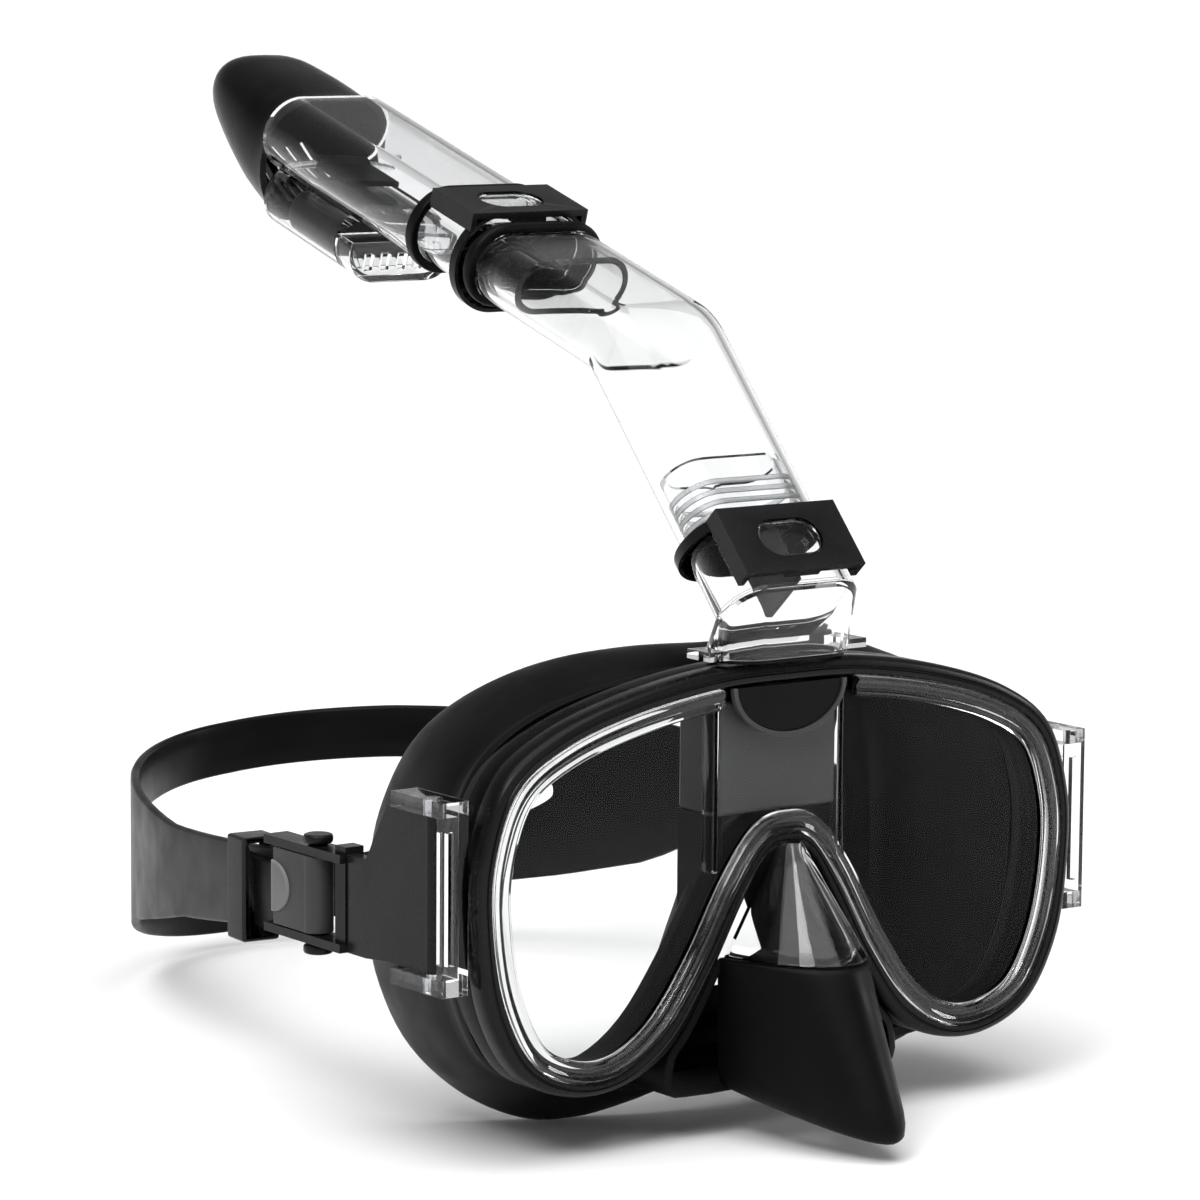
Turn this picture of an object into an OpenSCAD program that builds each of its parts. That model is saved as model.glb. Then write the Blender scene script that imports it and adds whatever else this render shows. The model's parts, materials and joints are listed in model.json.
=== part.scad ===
// Snorkel mask with a bent breathing tube and a dry top.
// Millimetres. The mask looks along -Y, +Z is up, the strap runs to +Y.
// The origin is the middle of the skirt's rear opening, where the face seals.
// "left" and "right" are the wearer's: the wearer's right is -X.

/* [Lens] */
// Width across the clear trim round the lens
lens_w = 152; // [146:1:156]
// Thickness of the lens
lens_t = 3; // [2.5:0.1:3.5]
// Width of the raised clear trim
trim_w = 4.5; // [3.5:0.1:5]
// Height of the trim in front of the lens
trim_h = 2.2; // [1.5:0.1:3]

/* [Frame and skirt] */
// Depth of the black bezel behind the front of the lens
bezel_d = 9; // [8:0.5:10]
// Depth of the clip ring behind the bezel
clip_d = 5; // [4:0.5:6]
// Distance from the lens to the middle of the face seal
seal_depth = 46; // [44:1:48]
// Height of the lens bridge above the middle of the face seal
seal_drop = 20; // [18:1:22]
// Wall of the silicone skirt
skirt_t = 2.5; // [2:0.1:3]

/* [Tube] */
// Outer width of the oval tube
tube_w = 34; // [33.5:0.1:34.5]
// Outer thickness of the oval tube
tube_t = 16.5; // [16:0.1:17]
// Wall of the tube
tube_wall = 1.5; // [1.2:0.1:1.8]
// Lean of the lower tube above the horizontal
lower_lean = 47.5; // [46:0.5:49]
// Lean of the upper tube above the horizontal
upper_lean = 17; // [15:1:19]
// Length of the lower leg from the mask to the bend
lower_leg = 87; // [84:1:95]
// Length of the spigot that the tube slips over
spigot_len = 17.5; // [14:0.5:18]

/* [Dry top] */
// Outer width of the clear housing
housing_w = 36; // [35.5:0.1:36.5]
// Outer thickness of the clear housing
housing_t = 18.2; // [18:0.1:18.6]
// Distance from the bend to the cap
cap_start = 137; // [135:1:139]
// Length of the cap
cap_len = 38; // [37:0.5:40]

/* [Latches] */
// Width of a latch collar
collar_w = 31.6; // [31:0.1:32]
// Length of a latch collar along the tube
collar_len = 17; // [16.5:0.1:17]
// Width of a release button
button_w = 15.8; // [14:0.1:15.8]
// Height of a release button
button_h = 8.9; // [8:0.1:9.2]

/* [Strap] */
// Half width of the strap loop
loop_half_w = 85; // [83:1:86]
// Depth of the strap loop behind its widest point
loop_depth = 206; // [200:1:208]
// Thickness of the strap
strap_t = 2.2; // [1.8:0.1:2.6]
// How much lower the strap sits on the wearer's right than in the middle
strap_tilt = 5; // [0:0.5:6]

/* [Hidden] */
$fn = 64;
datum = [0, -seal_depth, seal_drop];

// Half outlines seen from the front, from the top middle round to the bottom middle
wide = lens_w / 152;
trim_half = [
    [0, 23.5], [18, 23], [40, 19.5], [58, 14], [70, 6], [75.5, -8], [76, -22], [73, -38],
    [66, -51], [55, -56.5], [44, -56], [33, -49], [23, -36], [13, -19], [6, -10.5], [0, -9]
];
bezel_half = [
    [0, 27.8], [20, 27.2], [41.5, 23.5], [60.5, 17.3], [73.2, 8.3], [79, -7], [79.5, -22], [77, -39.5],
    [69, -53.5], [56.5, -59.6], [43, -59.2], [30.5, -53], [21, -40], [12, -24], [6, -14.5], [0, -12.5]
];
skirt_front_half = [
    [0, 25.5], [20, 25], [40, 22.5], [58, 17], [70, 8], [76, -6], [76.5, -22], [74.5, -39],
    [67.5, -53], [56, -59.5], [44, -61.5], [32, -63], [22, -64], [14, -64], [6.5, -64], [0, -64]
];
skirt_rear_half = [
    [0, 28], [19, 28.5], [37, 26], [52, 19], [62, 9], [68, -6], [70, -21], [69.5, -38],
    [65, -55], [56, -67], [44, -74], [33, -74.5], [23, -71], [14, -65], [6.5, -61], [0, -60]
];

function mirrored(half) = concat(
    [for (p = half) [p[0] * wide, p[1]]],
    [for (i = [len(half) - 2 : -1 : 1]) [-half[i][0] * wide, half[i][1]]]
);
function between(a, b, c, d, t) = 0.5 * (
    2 * b + (c - a) * t + (2 * a - 5 * b + 4 * c - d) * t * t + (3 * b - a - 3 * c + d) * t * t * t
);
// Smooth closed curve through the points
function curve(p, steps = 4) = [
    for (i = [0 : len(p) - 1], k = [0 : steps - 1])
        between(
            p[(i + len(p) - 1) % len(p)], p[i], p[(i + 1) % len(p)], p[(i + 2) % len(p)], k / steps
        )
];
function ellipse(a, b, steps = 48) = [
    for (i = [0 : steps - 1]) [a * cos(i * 360 / steps), b * sin(i * 360 / steps)]
];

trim_edge = curve(mirrored(trim_half));
bezel_edge = curve(mirrored(bezel_half));
skirt_front = curve(mirrored(skirt_front_half), 3);
skirt_rear = curve(mirrored(skirt_rear_half), 3);

// How far the bezel stands in front of the lens
bezel_lip = 1.5;

// Where the tube passes through the top of the mask
neck_half_w = 16.8;
saddle_y = 3.5;
saddle_d = 16;
saddle_z = 29;
passage_y = 6.2;
passage_d = 5.8;
tube_foot = [0, -10, 28];
neck_start = 15;
shoulder = 0.6;
neck_end = 33;
bend_angle = lower_lean - upper_lean;
bend_r = tube_t / 2 + 1.5;
bend_trim = bend_r * tan(bend_angle / 2);
bend_point = tube_foot + lower_leg * [0, cos(lower_lean), sin(lower_lean)];

// Distances along the upper leg, from the bend
upper_end = 46.3;
ring_t = 2.8;
upper_neck = upper_end + ring_t + 0.2;
collar_start = 52;
band_start = 69.4;
housing_start = 72.4;
chamber_start = 105;
bore_w = tube_w - 2 * tube_wall;
bore_t = tube_t - 2 * tube_wall;
spigot_w = bore_w - 1;
spigot_t = bore_t - 1;
chamber_y = 15.2;
chamber_w = 30;
chamber_t = 16;

// Latch collar: distances off the tube's axis
plate_in = 9.4;
plate_out = 10.9;
wall_h = 4.4;
loop_w = 36.4;
loop_t = 24;
loop_wall = 0.9;
button_drop = 0.2;
button_flange = 0.5;
recess = 0.7;

// Flap valve in the dry top
flap_y = 5;
flap_z = 128;
pin_r = 1;

// Strap bracket, swivel and buckle, on the +X side
bracket_x = 80;
bracket_y = 2.5;
bracket_len = 19;
bracket_top = 5;
bracket_bottom = -35.5;
ear_t = 3.4;
hinge_x = 83.5;
hinge_y = 10;
hinge_r = 1.4;
swivel_x0 = 82.2;
swivel_x1 = 85.2;
arm_mid = -22;
arm_h = 21;
rail = 1.9;
arm_end = 40;
roller_x = 84;
roller_y = 53;
roller_r = 2;
buckle_end = 70;
lever_t = 2;
lever_len = 13;

// The strap's centre line, by angle round the loop from the wearer's left
loop_front = 20;
split_angle = 46;
run_angle = 26;
function loop_x(a) = loop_half_w * cos(a);
function loop_y(a) = loop_front + loop_depth * sin(a);
function ramp(v, lo, hi) = v <= lo ? 0 : v >= hi ? 1 : (v - lo) / (hi - lo);
function tilt(a) = strap_tilt * cos(a) * ramp(loop_y(a), 87, 135);
// The strap lies twisted: on the wearer's left it spreads further down and a little further up
function spread_down(a) = 9.3 * ramp(a, 25, 36) - 6.1 * ramp(a, 45, 90) - 3.2 * ramp(a, 90, 130);
function spread_up(a) = 2 * ramp(a, 25, 35) - 1.5 * ramp(a, 65, 90) - 0.5 * ramp(a, 90, 120);
function strap_top(a) = -13.7 - 3 * ramp(loop_y(a), 70, 80) + tilt(a) + spread_up(a);
function strap_bottom(a) = -30.3 - 4 * ramp(loop_y(a), 70, 80) - 3 * ramp(loop_y(a), 80, 130)
    - 12 * ramp(loop_y(a), 130, 180) - 17 * ramp(loop_y(a), 180, 226) + tilt(a) - spread_down(a);
function upper_bottom(a) = strap_top(a) - 13;
function lower_top(a) = strap_bottom(a) + 15;

// ---- helpers -------------------------------------------------------------

// A front-view profile made solid from y0 back to y1
module slab(y0, y1) {
    rotate([90, 0, 0])
        translate([0, 0, -y1])
            linear_extrude(y1 - y0)
                children();
}

module stadium(w, t) {
    square([w - t, t], center = true);
    for (side = [-1, 1])
        translate([side * (w - t) / 2, 0])
            circle(d = t);
}

module oval_pipe(w, t, wall, z0, z1) {
    translate([0, 0, z0])
        linear_extrude(z1 - z0)
            difference() {
                stadium(w, t);
                stadium(w - 2 * wall, t - 2 * wall);
            }
}

// Local frames of the two legs: +Z along the tube, -Y to the front or top side
module on_lower_leg() {
    translate(tube_foot)
        rotate([lower_lean - 90, 0, 0])
            children();
}

module on_upper_leg() {
    translate(bend_point)
        rotate([upper_lean - 90, 0, 0])
            children();
}

// Puts a wearer's-left piece on either side
module on_side(side) {
    if (side > 0)
        children();
    else
        mirror([1, 0, 0])
            children();
}

// A closed solid through a loop of rings of points
module ring_loop(rings) {
    n = len(rings[0]);
    m = len(rings);
    polyhedron(
        points = [for (r = rings) for (p = r) p],
        faces = [
            for (j = [0 : m - 1], i = [0 : n - 1])
                let (k = (j + 1) % m, h = (i + 1) % n)
                    for (f = [[j * n + i, j * n + h, k * n + h], [j * n + i, k * n + h, k * n + i]]) f
        ]
    );
}

// A closed solid through a row of rings, with flat ends
module ring_row(rings) {
    n = len(rings[0]);
    m = len(rings);
    polyhedron(
        points = [for (r = rings) for (p = r) p],
        faces = concat(
            [[for (i = [n - 1 : -1 : 0]) i], [for (i = [0 : n - 1]) (m - 1) * n + i]],
            [
                for (j = [0 : m - 2], i = [0 : n - 1])
                    let (h = (i + 1) % n)
                        for (f = [
                            [j * n + i, j * n + h, (j + 1) * n + h],
                            [j * n + i, (j + 1) * n + h, (j + 1) * n + i]
                        ]) f
            ]
        )
    );
}

// ---- lens, frame and skirt -----------------------------------------------

module lens() {
    color([0.85, 0.88, 0.9, 0.35])
        slab(0, lens_t)
            offset(delta = -0.5)
                polygon(trim_edge);
}

// Where the trim stops either side of the air port
module trim_gap() {
    translate([-neck_half_w, -trim_h - 1, 17])
        cube([2 * neck_half_w, trim_h + 2, 12]);
}

// Air passage from the tube connector down into the duct
module air_passage() {
    translate([0, passage_y, 16])
        linear_extrude(16)
            stadium(26, passage_d);
}

module lens_trim() {
    color([0.9, 0.92, 0.94, 0.5])
        difference() {
            slab(-trim_h, 0)
                difference() {
                    polygon(trim_edge);
                    offset(delta = -trim_w)
                        polygon(trim_edge);
                }
            trim_gap();
        }
}

module bezel_frame() {
    color([0.03, 0.03, 0.03])
        difference() {
            slab(-bezel_lip, bezel_d)
                difference() {
                    polygon(bezel_edge);
                    offset(delta = 0.2)
                        polygon(trim_edge);
                }
            air_passage();
        }
}

module clip_ring() {
    color([0.08, 0.08, 0.08])
        difference() {
            slab(bezel_d, bezel_d + clip_d)
                difference() {
                    offset(delta = -2)
                        polygon(bezel_edge);
                    offset(delta = -1.5)
                        polygon(trim_edge);
                }
            air_passage();
        }
}

// Silicone flange between the lens and the clip ring
module lens_gasket() {
    color([0.03, 0.03, 0.03])
        difference() {
            slab(lens_t, bezel_d)
                difference() {
                    offset(delta = -0.4)
                        polygon(trim_edge);
                    offset(delta = -3.4)
                        polygon(trim_edge);
                }
            air_passage();
        }
}

// Rear rim of the skirt: close at the brow and lip, far back at the temples
function rim_y(p) = 31 + 27 * pow(abs(p[0]) / 70, 1.6) - 5 * ramp(-p[1], 40, 70);

// Stations of the skirt's wall: [share of the depth, inset, extra depth]
skirt_wall = [
    [0, 0, 0], [0.25, -1, 0], [0.5, -1.5, 0], [0.75, -1, 0], [0.92, 0.5, 0], [1, 3, 0.5],
    [1, 8, -1.5], [0.93, 13, -3], [0.9, 12.5, -3.5], [0.93, 8, -3.5], [0.9, 4.5, -2],
    [0.75, 1.5, 0], [0.5, 1, 0], [0.25, 1.5, 0], [0, 2.5, 0]
];
skirt_mid = [0, -20];

function skirt_point(i, w) =
    let (
        flat = skirt_front[i] * (1 - w[0]) + skirt_rear[i] * w[0],
        away = flat - skirt_mid,
        edge = flat - away * (w[1] / norm(away)),
        front = bezel_d + clip_d
    )
    [edge[0], front + (rim_y(skirt_rear[i]) - front) * w[0] + w[2], edge[1]];

module face_skirt() {
    color([0.02, 0.02, 0.02])
        ring_loop([
            for (w = skirt_wall) [for (i = [len(skirt_front) - 1 : -1 : 0]) skirt_point(i, w)]
        ]);
}

// ---- nose ----------------------------------------------------------------

// Half width and reach of the nose pocket at a height
nose_top = -11;
window_bottom = -34.6;
nose_bottom = -70;
nose_slope = 6;
function nose_w(z) = z > window_bottom
    ? 3 + 14 * ramp(-z, -nose_top, -window_bottom)
    : 17 - 0.5 * ramp(-z, -window_bottom, -nose_bottom);
function nose_reach(z) = z > window_bottom
    ? 4 + 18 * ramp(-z, -nose_top, -window_bottom)
    : 22 + 18 * ramp(-z, -window_bottom, -nose_bottom);
// The pocket's underside rises towards the face
function nose_z(z, share) = z + nose_slope * (1 - share) * ramp(-z, -window_bottom, -nose_bottom);
function nose_ring(z, inset, back) = let (w = nose_w(z) - inset, d = nose_reach(z) - inset) concat(
    [for (a = [-90 : 10 : 90]) [w * sin(a), -d * pow(cos(a), 1.9) - 1, nose_z(z, pow(cos(a), 1.9))]],
    [[w, back, nose_z(z, 0)], [-w, back, nose_z(z, 0)]]
);

module nose_shape(levels, inset, back) {
    ring_row([for (z = levels) nose_ring(z, inset, back)]);
}

module nose_window() {
    color([0.85, 0.88, 0.9, 0.4])
        difference() {
            nose_shape([nose_top, -16, -22, -28, window_bottom], 0, 0);
            nose_shape([nose_top - 2, -16, -22, -28, window_bottom - 1], 1.5, 3);
            slab(-bezel_lip, bezel_d)
                polygon(bezel_edge);
        }
}

// Front view of the notch below the bezel, which the nose pocket fills
module notch_area() {
    difference() {
        intersection() {
            polygon(skirt_front);
            translate([-31, -66])
                square([62, 66 + window_bottom]);
        }
        offset(delta = 0.3)
            polygon(bezel_edge);
    }
}

module nose_pocket() {
    color([0.02, 0.02, 0.02])
        difference() {
            union() {
                nose_shape([window_bottom - 0.2, -44, -52, -60, -66, nose_bottom], 0, 1);
                slab(0, bezel_d + clip_d)
                    notch_area();
            }
            nose_shape([window_bottom + 1, -44, -51, -58, -64, -67.5], 2, 2);
            slab(1, bezel_d + clip_d + 1)
                offset(delta = -2.2)
                    notch_area();
        }
}

// ---- air duct behind the lens --------------------------------------------

duct_half_w = 16;
duct_top = 19.4;
duct_bottom = -5;
duct_y = lens_t + 0.5;
duct_d = 14;
port_z = 23;
port_a = 14;
port_b = 10.2;

module air_duct() {
    color([0.35, 0.35, 0.35])
        difference() {
            translate([-duct_half_w, duct_y, duct_bottom])
                cube([2 * duct_half_w, duct_d, duct_top - duct_bottom]);
            translate([-duct_half_w + 2, duct_y + 2, duct_bottom - 1])
                cube([2 * duct_half_w - 4, duct_d - 4, duct_top - duct_bottom + 2]);
        }
}

module half_oval(a, b) {
    intersection() {
        translate([0, port_z])
            polygon(ellipse(a, b));
        translate([-20, port_z - 20])
            square([40, 20]);
    }
}

// Black seal and rim of the air port, on the front of the lens
module air_port_seal() {
    color([0.03, 0.03, 0.03])
        slab(-1, 0)
            half_oval(port_a, port_b);
}

module air_port_ring() {
    color([0.55, 0.55, 0.55])
        slab(-1.4, 0)
            difference() {
                half_oval(port_a + 1.2, port_b + 1.2);
                half_oval(port_a + 0.1, port_b + 0.1);
            }
}

module inhale_valve() {
    color([0.15, 0.15, 0.15])
        translate([0, duct_y + duct_d / 2 + 0.4, 6])
            linear_extrude(1.2)
                stadium(2 * duct_half_w - 4, 8.2);
}

module duct_rail(side) {
    color([0.9, 0.92, 0.94, 0.5])
        translate([side > 0 ? duct_half_w : -duct_half_w - 1.6, lens_t, -17])
            cube([1.6, 4, duct_top + 17]);
}

// ---- tube connector ------------------------------------------------------

module saddle(inset, z0, z1) {
    translate([0, saddle_y, z0])
        linear_extrude(z1 - z0)
            stadium(2 * (neck_half_w - inset), saddle_d - 2 * inset);
}

module tube_connector() {
    color([0.85, 0.88, 0.9, 0.4]) {
        difference() {
            hull() {
                saddle(0, saddle_z, saddle_z + 2, $fn = 32);
                on_lower_leg()
                    translate([0, 0, neck_start])
                        linear_extrude(1)
                            stadium(tube_w + shoulder, tube_t + shoulder, $fn = 32);
            }
            hull() {
                saddle(2, saddle_z - 1, saddle_z + 1, $fn = 32);
                on_lower_leg()
                    translate([0, 0, neck_start])
                        linear_extrude(2)
                            stadium(bore_w - shoulder, bore_t - shoulder, $fn = 32);
            }
        }
        difference() {
            on_lower_leg()
                oval_pipe(tube_w, tube_t, tube_wall, neck_start + 0.5, neck_end);
            on_lower_latch()
                button_recess();
        }
        on_lower_leg() {
            oval_pipe(spigot_w, spigot_t, tube_wall, neck_end - 2, neck_end + spigot_len);
            translate([0, 0, neck_end - 2])
                linear_extrude(2)
                    difference() {
                        stadium(tube_w - 1, tube_t - 1);
                        stadium(spigot_w - 1, spigot_t - 1);
                    }
        }
        for (side = [-1, 1])
            translate([side * 18, saddle_y, saddle_z + 1])
                cube([6, 8, 2], center = true);
    }
}

module connector_gasket() {
    color([0.03, 0.03, 0.03])
        difference() {
            saddle(0.6, 28.1, saddle_z);
            saddle(2.2, 27, saddle_z + 1);
        }
}

module connector_divider() {
    color([0.2, 0.2, 0.2])
        on_lower_leg()
            translate([-0.6, -bore_t / 2 - 0.1, neck_start + 2])
                cube([1.2, bore_t + 0.2, 15]);
}

module lower_seal_rings() {
    color([0.75, 0.77, 0.78])
        on_lower_leg()
            for (i = [0 : 3])
                oval_pipe(bore_w - 0.1, bore_t - 0.1, 0.45, neck_end + 2.5 + i * 2.6, neck_end + 3.7 + i * 2.6);
}

// ---- latch collars and buttons -------------------------------------------

// The collar's loop end is at z = 0 and its plate runs along +Z
module latch_collar() {
    color([0.03, 0.03, 0.03]) {
        difference() {
            translate([-collar_w / 2, -plate_out, 0])
                cube([collar_w, wall_h, collar_len]);
            translate([-collar_w / 2 + 1.5, -plate_in, -1])
                cube([collar_w - 3, plate_in, collar_len + 2]);
            translate([0, -plate_in + 1, collar_len / 2])
                rotate([90, 0, 0])
                    linear_extrude(plate_out - plate_in + 2)
                        stadium(button_w + 0.6, button_h + 0.6);
        }
        for (z = [0, collar_len - 2])
            translate([-4.5, -plate_in, z])
                cube([9, plate_in - tube_t / 2, 2]);
        difference() {
            translate([0, loop_t / 2 - plate_out, 0])
                linear_extrude(2.4)
                    stadium(loop_w, loop_t);
            translate([0, loop_t / 2 - plate_out, -1])
                linear_extrude(5)
                    stadium(loop_w - 2 * loop_wall, loop_t - 2 * loop_wall);
        }
    }
}

// Room in the neck's wall for the button's travel
module button_recess() {
    translate([0, -tube_t / 2 + recess, collar_len / 2])
        rotate([90, 0, 0])
            linear_extrude(2)
                stadium(button_w + 1.4, button_h + 2.2);
}

module release_button() {
    color([0.85, 0.88, 0.9, 0.5])
        translate([0, -plate_in + button_drop, collar_len / 2])
            rotate([90, 0, 0]) {
                linear_extrude(plate_out - plate_in - 0.2)
                    stadium(button_w, button_h);
                translate([0, 0, -button_flange])
                    linear_extrude(button_flange + 0.01)
                        stadium(button_w + 1.1, button_h + 1.6);
            }
}

// The lower collar's loop faces up the tube, so the collar is turned end for end
module on_lower_latch() {
    on_lower_leg()
        translate([0, 0, neck_end + 1.2])
            mirror([0, 0, 1])
                children();
}

module on_upper_latch() {
    on_upper_leg()
        translate([0, 0, collar_start])
            children();
}

// ---- tube ----------------------------------------------------------------

tube_start = neck_end + 0.7;
function stadium_points(w, t, n = 16) = concat(
    [for (i = [0 : n]) let (a = -90 + i * 180 / n) [(w - t) / 2 + t / 2 * cos(a), t / 2 * sin(a)]],
    [for (i = [0 : n]) let (a = 90 + i * 180 / n) [-(w - t) / 2 + t / 2 * cos(a), t / 2 * sin(a)]]
);
// A section of the tube at a height z up a leg that starts at p and leans by lean
function leg_ring(section, p, lean, z) = [
    for (q = section) p + [q[0], q[1] * sin(lean) + z * cos(lean), z * sin(lean) - q[1] * cos(lean)]
];
// A section of the tube where its lean has fallen to lean inside the bend
bend_centre = tube_foot + (lower_leg - bend_trim) * [0, cos(lower_lean), sin(lower_lean)]
    + bend_r * [0, sin(lower_lean), -cos(lower_lean)];
function bend_ring(section, lean) =
    leg_ring(section, bend_centre - bend_r * [0, sin(lean), -cos(lean)], lean, 0);
function tube_rings(section) = concat(
    [leg_ring(section, tube_foot, lower_lean, tube_start)],
    [for (i = [0 : 6]) bend_ring(section, lower_lean - bend_angle * i / 6)],
    [leg_ring(section, bend_point, upper_lean, upper_end)]
);

module bent_tube() {
    outer = tube_rings(stadium_points(tube_w, tube_t));
    bore = tube_rings(stadium_points(bore_w, bore_t));
    color([0.9, 0.92, 0.94, 0.3])
        ring_loop(concat(bore, [for (i = [len(outer) - 1 : -1 : 0]) outer[i]]));
}

// ---- dry top -------------------------------------------------------------

module upper_gasket() {
    color([0.02, 0.02, 0.02])
        on_upper_leg()
            oval_pipe(tube_w + 3, tube_t + 3, 3.4, upper_end + 0.1, upper_end + 0.1 + ring_t);
}

module housing_band() {
    color([0.02, 0.02, 0.02])
        on_upper_leg()
            oval_pipe(tube_w + 4, tube_t + 4, 2, band_start, housing_start);
}

module dry_top_housing() {
    inner_w = housing_w - 2 * tube_wall;
    inner_t = housing_t - 2 * tube_wall;
    color([0.85, 0.88, 0.9, 0.35])
        on_upper_leg() {
            oval_pipe(spigot_w, spigot_t, tube_wall, upper_end - spigot_len + 3, upper_neck + 1.5);
            oval_pipe(tube_w, tube_t, (tube_w - spigot_w) / 2 + 1, upper_neck, upper_neck + 2);
            difference() {
                oval_pipe(tube_w, tube_t, tube_wall, upper_neck + 1, housing_start + 2);
                translate([0, 0, collar_start])
                    button_recess();
            }
            difference() {
                union() {
                    translate([0, 0, housing_start])
                        linear_extrude(cap_start - housing_start)
                            stadium(housing_w, housing_t);
                    translate([0, chamber_y, chamber_start])
                        linear_extrude(cap_start - chamber_start)
                            stadium(chamber_w, chamber_t);
                }
                translate([0, 0, housing_start + 1.5])
                    linear_extrude(cap_start)
                        stadium(inner_w, inner_t);
                translate([0, 0, housing_start - 1])
                    linear_extrude(4)
                        stadium(bore_w, bore_t);
                translate([0, chamber_y + 1, chamber_start - 1])
                    linear_extrude(cap_start)
                        stadium(chamber_w - 3, chamber_t - 5);
            }
        }
}

// Rounded, slotted end of the float chamber
module float_cage() {
    color([0.9, 0.92, 0.94, 0.45])
        on_upper_leg()
            translate([0, chamber_y, chamber_start - 0.2])
                difference() {
                    translate([0, 0, -7])
                        linear_extrude(7)
                            intersection() {
                                stadium(chamber_w, chamber_t);
                                translate([-20, -2])
                                    square([40, 20]);
                            }
                    translate([0, 0, -5.5])
                        linear_extrude(6)
                            intersection() {
                                stadium(chamber_w - 3, chamber_t - 3);
                                translate([-20, -0.5])
                                    square([40, 20]);
                            }
                    for (i = [-2 : 2])
                        translate([i * 4.6 - 1.1, 1, -8])
                            cube([2.2, 4, 4]);
                }
}

// The pieces of the float valve, drawn with the valve open
module float() {
    color([0.06, 0.06, 0.06])
        on_upper_leg()
            translate([0, chamber_y + 1, 108])
                linear_extrude(20)
                    stadium(chamber_w - 3.8, chamber_t - 5.8);
}

module flap_valve() {
    color([0.12, 0.12, 0.12])
        on_upper_leg()
            translate([0, flap_y, flap_z])
                difference() {
                    union() {
                        rotate([0, 90, 0])
                            cylinder(r = pin_r + 1.1, h = 14, center = true);
                        translate([-7.5, -0.7, -14])
                            cube([15, 1.4, 13]);
                    }
                    rotate([0, 90, 0])
                        cylinder(r = pin_r + 0.06, h = 30, center = true);
                }
}

module flap_pin() {
    color([0.6, 0.6, 0.62])
        on_upper_leg()
            translate([0, flap_y, flap_z])
                rotate([0, 90, 0])
                    cylinder(r = pin_r, h = 31.5, center = true);
}

module cap_shape(inset) {
    hull() {
        translate([0, 0, cap_start])
            linear_extrude(1)
                stadium(housing_w - 2 * inset, housing_t - 2 * inset, $fn = 32);
        translate([0, chamber_y, cap_start])
            linear_extrude(1)
                stadium(chamber_w - 2 * inset, chamber_t - 2 * inset, $fn = 32);
        for (side = [-1, 1]) {
            translate([side * 6, 1, cap_start + cap_len - 8.5])
                sphere(r = 8.5 - inset, $fn = 32);
            translate([side * 8, 0, cap_start + cap_len * 0.4])
                sphere(r = 8.6 - inset, $fn = 32);
        }
        translate([0, 9, cap_start + cap_len * 0.3])
            sphere(r = 10.5 - inset, $fn = 32);
    }
}

module dry_top_cap() {
    color([0.02, 0.02, 0.02])
        on_upper_leg()
            difference() {
                cap_shape(0);
                translate([0, 0, -1])
                    cap_shape(1.8);
                for (i = [-2 : 2])
                    translate([i * 4.4 - 1, 8, cap_start + 8])
                        cube([2, 20, 16]);
            }
}

// ---- strap hardware, drawn on the wearer's left --------------------------

module bracket(side) {
    color([0.9, 0.92, 0.94, 0.45])
        on_side(side)
            difference() {
                translate([bracket_x, bracket_y, bracket_bottom])
                    cube([6.5, bracket_len, bracket_top - bracket_bottom]);
                translate([bracket_x + 1.6, bracket_y + 2, bracket_bottom + ear_t])
                    cube([8, bracket_len, bracket_top - bracket_bottom - 2 * ear_t]);
                translate([bracket_x + 3, bracket_y - 1, bracket_bottom + ear_t + 3])
                    cube([2, 4, bracket_top - bracket_bottom - 2 * ear_t - 6]);
                translate([hinge_x, hinge_y, bracket_bottom - 1])
                    cylinder(r = hinge_r, h = bracket_top - bracket_bottom + 2);
            }
}

module hinge_pin(side) {
    color([0.7, 0.7, 0.72])
        on_side(side)
            translate([hinge_x, hinge_y, bracket_bottom])
                cylinder(r = hinge_r, h = bracket_top - bracket_bottom);
}

module swivel(side) {
    top = bracket_top - ear_t - 0.3;
    bottom = bracket_bottom + ear_t + 0.3;
    color([0.03, 0.03, 0.03])
        on_side(side)
            difference() {
                union() {
                    translate([hinge_x, hinge_y, bottom])
                        cylinder(r = 1.75, h = top - bottom);
                    rotate([90, 0, 90])
                        translate([0, 0, swivel_x0])
                            linear_extrude(swivel_x1 - swivel_x0)
                                polygon([
                                    [hinge_y, bottom], [hinge_y + 15, bottom], [33, arm_mid - arm_h / 2],
                                    [arm_end, arm_mid - arm_h / 2], [arm_end, arm_mid + arm_h / 2],
                                    [33, arm_mid + arm_h / 2], [hinge_y + 15, top], [hinge_y, top]
                                ]);
                }
                translate([hinge_x, hinge_y, bottom - 1])
                    cylinder(r = hinge_r + 0.06, h = top - bottom + 2);
            }
}

module buckle(side) {
    color([0.04, 0.04, 0.04])
        on_side(side)
            difference() {
                union() {
                    for (end = [-1, 1])
                        translate([roller_x - 3, arm_end, arm_mid + end * (arm_h / 2 - rail / 2) - rail / 2])
                            cube([6, buckle_end - arm_end, rail]);
                    translate([roller_x - 3, arm_end, arm_mid - arm_h / 2])
                        cube([4.6, 4, arm_h + 1.5]);
                }
                translate([roller_x, roller_y, arm_mid - arm_h])
                    cylinder(r = roller_r + 0.06, h = 2 * arm_h);
            }
}

module roller(side) {
    color([0.02, 0.02, 0.02])
        on_side(side)
            translate([roller_x, roller_y, arm_mid]) {
                cylinder(r = roller_r, h = arm_h + 0.8, center = true);
                for (end = [-1, 1])
                    translate([0, 0, end * (arm_h / 2 + 1.4)])
                        cylinder(r = 3.2, h = 2, center = true);
            }
}

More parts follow.
